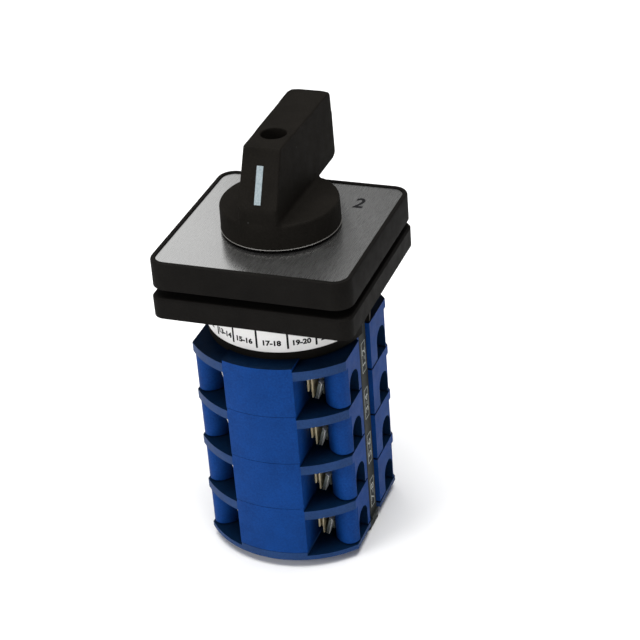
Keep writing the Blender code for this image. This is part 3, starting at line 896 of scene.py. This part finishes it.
def outline_box(width, height, line):
    """A flat frame of thin lines, in the XY plane."""
    w, h = width / 2, height / 2
    outer = [(-w, -h), (w, -h), (w, h), (-w, h)]
    inner = [(-w + line, -h + line), (w - line, -h + line), (w - line, h - line), (-w + line, h - line)]
    rings = [
        [(x, y, -0.01) for x, y in outer],
        [(x, y, 0.01) for x, y in outer],
        [(x, y, 0.01) for x, y in inner],
        [(x, y, -0.01) for x, y in inner],
    ]
    return from_rings("outline_box", rings, looped=True)


for s in (1, -1):
    side_strip(s)
    marks = []
    for number in range(1, STAGES + 1):
        z = Z_STAGE0 + (STAGES - number) * PITCH + 4.8
        marks.append(on_strip(outline_box(8.2, 2.6, 0.15), s, 0.0, z))
        marks.append(on_strip(lettering(f"{2 * number - 1}-{2 * number}", 1.75, 1.6, 0.02, -0.004), s, 0.0, z))
    finished(
        joined("strip_marks_right" if s > 0 else "strip_marks_left", marks),
        "switch_body",
        (pale_ink,),
        "strip_plastic",
    )


# ---- terminals -------------------------------------------------------------
fork_plan = [
    (9.6, -3.2),
    (10.6, -3.2),
    (10.6, -8.4),
    (10.2, -8.8),
    (10.2, -13.95),
    (10.1, -14.1),
    (9.85, -14.1),
    (9.75, -13.95),
    (9.75, -11.6),
    (9.15, -11.6),
    (9.15, -13.95),
    (9.05, -14.1),
    (8.8, -14.1),
    (8.7, -13.95),
    (8.7, -8.2),
    (9.6, -8.2),
]
fork = prism("fork_master", fork_plan, 1.0, 6.3)
cut(fork, block("short", (8.0, 9.3), (-15.0, -11.9), (0.0, 2.5)))
soften(fork, 0.06, 2, 30.0)


def slanted(name, x_low, x_high, thick, y, z_low, z_high, hook=0.0):
    half = thick / 2
    line = [(x_low, z_low), (x_high, z_high)]
    if hook:
        line.append((x_high + hook, z_high + 0.75 * abs(hook)))
    plan = [(x - half, z) for x, z in line] + [(x + half, z) for x, z in reversed(line)]
    return prism(name, plan, *y, axis="Y")


clamp = slanted("clamp_master", 11.38, 12.5, 0.2, (-14.35, -12.6), 1.0, 5.3, -0.75)
soften(clamp, 0.05, 2, 30.0)
tongue = slanted("tongue_master", 10.9, 12.0, 0.72, (-14.2, -12.3), 1.0, 5.2)
washer = block("washer", (11.85, 12.35), (-12.5, -7.95), (1.5, 6.3))
hole = turned_x("hole", [(1.85, 11.0), (1.85, 13.0)], (-TERMINAL_Y, TERMINAL_Z), 24)
join(tongue, washer)
cut(tongue, hole)
soften(tongue, 0.07, 2, 30.0)

head_x = FLAT_X - NOTCH_DEPTH + 0.06
screw = turned_x(
    "screw_master",
    [(1.2, 10.75), (1.5, 11.05), (1.5, head_x + 0.02), (2.55, head_x + 0.02), (2.6, head_x + 0.9), (2.2, head_x + 1.3), (1.2, head_x + 1.42)],
    (-TERMINAL_Y, TERMINAL_Z),
    32,
)
cut(
    screw,
    block("slot", (head_x + 0.75, head_x + 3.0), (-TERMINAL_Y - 0.35, -TERMINAL_Y + 0.35), (TERMINAL_Z - 4.0, TERMINAL_Z + 4.0)),
    block("slot", (head_x + 0.85, head_x + 3.0), (-TERMINAL_Y - 1.5, -TERMINAL_Y + 1.5), (TERMINAL_Z - 0.35, TERMINAL_Z + 0.35)),
)
soften(screw, 0.06, 1, 35.0)

for number in range(1, STAGES + 1):
    z0 = Z_STAGE0 + (STAGES - number) * PITCH
    for side, sx in (("right", 1), ("left", -1)):
        for end, sy in (("front", 1), ("rear", -1)):
            tag = f"{number}_{side}_{end}"
            move = (0.0, 0.0, z0)
            finished(
                stamped(fork, f"terminal_fork_{tag}", sx, sy, move),
                "switch_body",
                (brass,),
                "brass",
                f"terminal_{tag}",
            )
            finished(stamped(clamp, f"clamp_plate_{tag}", sx, sy, move), "switch_body", (zinc,), "steel")
            finished(stamped(tongue, f"clamp_tongue_{tag}", sx, sy, move), "switch_body", (dull_zinc,), "steel")
            finished(stamped(screw, f"terminal_screw_{tag}", sx, sy, move), "switch_body", (zinc,), "steel")
for obj in (fork, clamp, tongue, screw):
    drop(obj)


# ---- springs ---------------------------------------------------------------
def coil(name, start, end, radius, wire, turns, centre, steps=18, sides=8):
    """A closed helical wire with its axis along X."""
    rings = []
    total = turns * steps
    for i in range(total + 1):
        a = 2 * math.pi * i / steps
        along = start + (end - start) * i / total
        out = Vector((0.0, math.cos(a), math.sin(a)))
        middle = Vector((along, centre[0], centre[1])) + out * radius
        ring = []
        for j in range(sides):
            b = 2 * math.pi * j / sides
            ring.append(tuple(middle + out * (wire * math.cos(b)) + Vector((wire * math.sin(b), 0.0, 0.0))))
        rings.append(ring)
    return smooth(from_rings(name, rings))


for number in range(1, STAGES + 1):
    z0 = Z_STAGE0 + (STAGES - number) * PITCH
    for side, sx in (("right", 1), ("left", -1)):
        spring = coil(f"contact_spring_{number}_{side}", sx * 12.7, sx * 14.0, 1.3, 0.16, 3, (0.0, z0 + 3.9))
        finished(spring, f"contact_{number}_{side}", (steel,), "steel")
for side, sx in (("right", 1), ("left", -1)):
    spring = coil(f"detent_spring_{side}", sx * 13.7, sx * 15.7, 1.8, 0.2, 3, (0.0, 61.5))
    finished(spring, "switch_body", (steel,), "steel")
    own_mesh(spring)


# ---- handle ----------------------------------------------------------------
def lever_half(y, z):
    widened = LEVER_WIDEN_Y * (y - LEVER_FRONT_TOP) + LEVER_WIDEN_Z * (Z_LEVER_TOP - z)
    return LEVER_HALF + widened


def front_box(name, half, z_low, z_high, depth, proud):
    """A bar lying in the lever's sloping front face between two heights."""
    along = Vector((0.0, LEVER_FRONT_TOP - LEVER_FRONT_FOOT, Z_LEVER_TOP - LEVER_FOOT_Z)).normalized()
    out = Vector((0.0, -along.z, along.y))
    foot = Vector((0.0, LEVER_FRONT_FOOT, LEVER_FOOT_Z))
    low = foot + along * ((z_low - LEVER_FOOT_Z) / along.z)
    high = foot + along * ((z_high - LEVER_FOOT_Z) / along.z)
    section = [low - out * depth, high - out * depth, high + out * proud, low + out * proud]
    return from_rings(name, [[(s * half, p.y, p.z) for p in section] for s in (1, -1)])


def relax(obj, rounds, weight=None, shrink=0.5, grow=0.0):
    """Evens out a mesh by moving vertices towards their neighbours."""
    mesh = obj.data
    count = len(mesh.vertices)
    co = np.empty(count * 3)
    mesh.vertices.foreach_get("co", co)
    co = co.reshape(-1, 3)
    edges = np.empty(len(mesh.edges) * 2, dtype=np.int64)
    mesh.edges.foreach_get("vertices", edges)
    a, b = edges.reshape(-1, 2).T
    degree = np.bincount(a, minlength=count) + np.bincount(b, minlength=count)
    share = np.ones(count) if weight is None else weight(*(co.T / MM))
    for _ in range(rounds):
        for factor in (shrink, -grow) if grow else (shrink,):
            near = np.empty_like(co)
            for k in range(3):
                near[:, k] = np.bincount(a, co[b, k], count) + np.bincount(b, co[a, k], count)
            near /= degree[:, None]
            co += (near - co) * (factor * share)[:, None]
    mesh.vertices.foreach_set("co", co.ravel())
    mesh.update()
    return obj


knob = turned(
    "handle_knob",
    [
        (SKIRT_R, Z_SKIRT),
        (SKIRT_R - 0.1, Z_SKIRT_TOP - 0.6),
        (SKIRT_R - 0.22, Z_SKIRT_TOP - 0.2),
        (SKIRT_R - 0.5, Z_SKIRT_TOP),
    ],
    160,
)
lever_side = [
    (LEVER_FRONT_FOOT + 0.4, 85.0),
    (8.0, 85.0),
    (8.0, LEVER_UNDER),
    (LEVER_REAR - 0.4, LEVER_UNDER),
    (LEVER_REAR, LEVER_UNDER + 0.4),
    (LEVER_REAR, Z_LEVER_TOP - 0.7),
    (LEVER_REAR - 0.2, Z_LEVER_TOP - 0.2),
    (LEVER_REAR - 0.7, Z_LEVER_TOP),
    (LEVER_FRONT_TOP + 0.3, Z_LEVER_TOP),
    (LEVER_FRONT_TOP - 0.1, Z_LEVER_TOP - 0.25),
    (LEVER_FRONT_FOOT, LEVER_FOOT_Z),
    (LEVER_FRONT_FOOT - 0.1, 89.0),
]
lever = from_rings("lever", [[(s * lever_half(y, z), y, z) for y, z in lever_side] for s in (1, -1)])
join(knob, lever, turned("hub", [(8.0, 78.6), (8.0, 84.5)], 64))
cut(
    knob,
    from_rings(
        "groove",
        [[(x, y, z) for x, y in circle(r, 96)] for r, z in ((8.5, 80.0), (12.1, 80.0), (12.1, 85.8), (8.5, 85.8))],
        looped=True,
    ),
    block("socket", (-3.3, 3.3), (-3.3, 3.3), (77.0, 92.3)),
    turned("screw_way", [(1.8, 91.0), (1.8, 96.0)], 32),
    turned("counterbore", [(SCREW_HOLE_R, SCREW_SEAT), (SCREW_HOLE_R, 110.0)], 64),
)
remesh = knob.modifiers.new("remesh", "REMESH")
remesh.mode = "VOXEL"
remesh.voxel_size = 0.27 * MM
applied(knob)


def junction(x, y, z):
    """How strongly a point belongs to the fillet round the lever's foot."""
    height = np.clip(1.0 - np.abs(z - 88.1) / 1.5, 0.0, 1.0)
    across = np.clip(1.0 - np.abs(np.abs(x) - 5.0) / 1.6, 0.0, 1.0)
    inside = (y < 13.0) & (y > -13.0)
    front = (y < -12.0) & (np.abs(x) < 6.2) & (z > 86.0) & (z < 91.5)
    return np.where(front, 0.9, np.where(inside, np.clip(3.0 * height * across, 0.0, 1.0), 0.0))


def rear_end(x, y, z):
    """The upright corners at the lever's rear end, rounder than the rest."""
    behind = np.clip((y - (LEVER_REAR - 2.4)) / 1.6, 0.0, 0.9)
    beside = np.clip((np.abs(x) - (LEVER_HALF - 1.6)) / 1.2, 0.0, 1.0)
    return behind * beside


relax(knob, 5, None, 0.5, 0.53)
relax(knob, 22, junction)
relax(knob, 26, rear_end)
smooth(knob, 60.0)
finished(knob, "rotor", (knob_black,), "black_plastic", "handle")

# a thin bead round the skirt's foot, whose light colour is a painted glint on that edge
bead = from_rings(
    "handle_skirt_bead",
    [
        [(x, y, z) for x, y in circle(r, 160)]
        for r, z in (
            (SKIRT_R - 0.12, Z_SKIRT + 0.02),
            (SKIRT_R + 0.05, Z_SKIRT + 0.04),
            (SKIRT_R + 0.09, Z_SKIRT + 0.12),
            (SKIRT_R + 0.04, Z_SKIRT + 0.2),
            (SKIRT_R - 0.12, Z_SKIRT + 0.22),
        )
    ],
    looped=True,
)
smooth(bead)
finished(bead, "rotor", (bead_painted_glint,), "black_plastic")

line = front_box("handle_indicator_inlay", 0.78, 92.5, 100.4, 0.3, 0.05)
soften(line, 0.04, 1, 30.0)
finished(line, "rotor", (indicator_paint,), "indicator_paint", "handle_indicator")


# ---- carried-over pieces ---------------------------------------------------
def repaint(node, mat):
    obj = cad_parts[node]
    obj.data.materials.clear()
    obj.data.materials.append(mat)


for node in ("handle_screw", "switch_shaft", "tie_bolt_front", "tie_bolt_rear", "detent_roller_left", "detent_roller_right"):
    repaint(node, steel)
repaint("detent_wheel", natural)
for number in range(1, STAGES + 1):
    repaint(f"cam_{number}", natural)
    for side in ("left", "right"):
        repaint(f"plunger_{number}_{side}", natural)
        repaint(f"moving_contact_{number}_{side}", silvered)


# ---- floor, light and camera -----------------------------------------------
def floor():
    bm = bmesh.new()
    bmesh.ops.create_grid(bm, x_segments=8, y_segments=8, size=1.6)
    mesh = bpy.data.meshes.new("floor")
    bm.to_mesh(mesh)
    bm.free()
    obj = new_object("floor", mesh)
    mesh.materials.append(ground())


floor()


def panel(name, at, target, size, power, colour=(1.0, 1.0, 1.0)):
    light = bpy.data.lights.new(name, "AREA")
    light.shape = "RECTANGLE"
    light.size, light.size_y = size
    light.energy = power
    light.color = colour
    obj = bpy.data.objects.new(name, light)
    bpy.context.scene.collection.objects.link(obj)
    obj.location = at
    obj.rotation_euler = (Vector(target) - Vector(at)).to_track_quat("-Z", "Y").to_euler()
    return obj


panel("key", (-0.55, -0.75, 0.36), (0.0, 0.0, 0.05), (0.45, 0.50), 4.4)
panel("top", (0.0, -0.05, 0.95), (0.0, 0.0, 0.0), (0.8, 0.8), 14.0)
panel("fill", (0.75, -0.50, 0.25), (0.0, 0.0, 0.05), (0.7, 0.5), 1.2)
panel("back", (-0.185, 0.25, 0.255), (0.0, 0.0, 0.081), (0.14, 0.16), 0.062)

world = bpy.data.worlds.new("studio")
bpy.context.scene.world = world
world.use_nodes = True
backdrop = world.node_tree.nodes["Background"]
backdrop.inputs["Color"].default_value = (1.0, 1.0, 1.0, 1.0)
backdrop.inputs["Strength"].default_value = 0.17

bpy.context.scene.view_settings.view_transform = "Standard"


def photo_camera():
    turn, lift, roll = (math.radians(v) for v in (21.673, 30.625, 4.445))
    right = Vector((math.cos(turn), math.sin(turn), 0.0))
    back = Vector((math.sin(turn) * math.cos(lift), -math.cos(turn) * math.cos(lift), math.sin(lift)))
    up = back.cross(right)
    c, s = math.cos(roll), math.sin(roll)
    right, up = c * right - s * up, s * right + c * up
    across, above, away = -8.850, 22.105, 432.647
    place = (-across * right - above * up + away * back) * MM + Vector((0.0, 0.0, Z_FRAME_TOP * MM))
    camera = bpy.data.cameras.new("photo")
    camera.lens = 106.059
    camera.sensor_width = 36.0
    camera.sensor_fit = "HORIZONTAL"
    camera.clip_start = 0.01
    camera.clip_end = 10.0
    obj = bpy.data.objects.new("photo", camera)
    bpy.context.scene.collection.objects.link(obj)
    basis = Matrix((right, up, back)).transposed().to_4x4()
    obj.matrix_world = Matrix.Translation(place) @ basis
    bpy.context.scene.camera = obj


photo_camera()
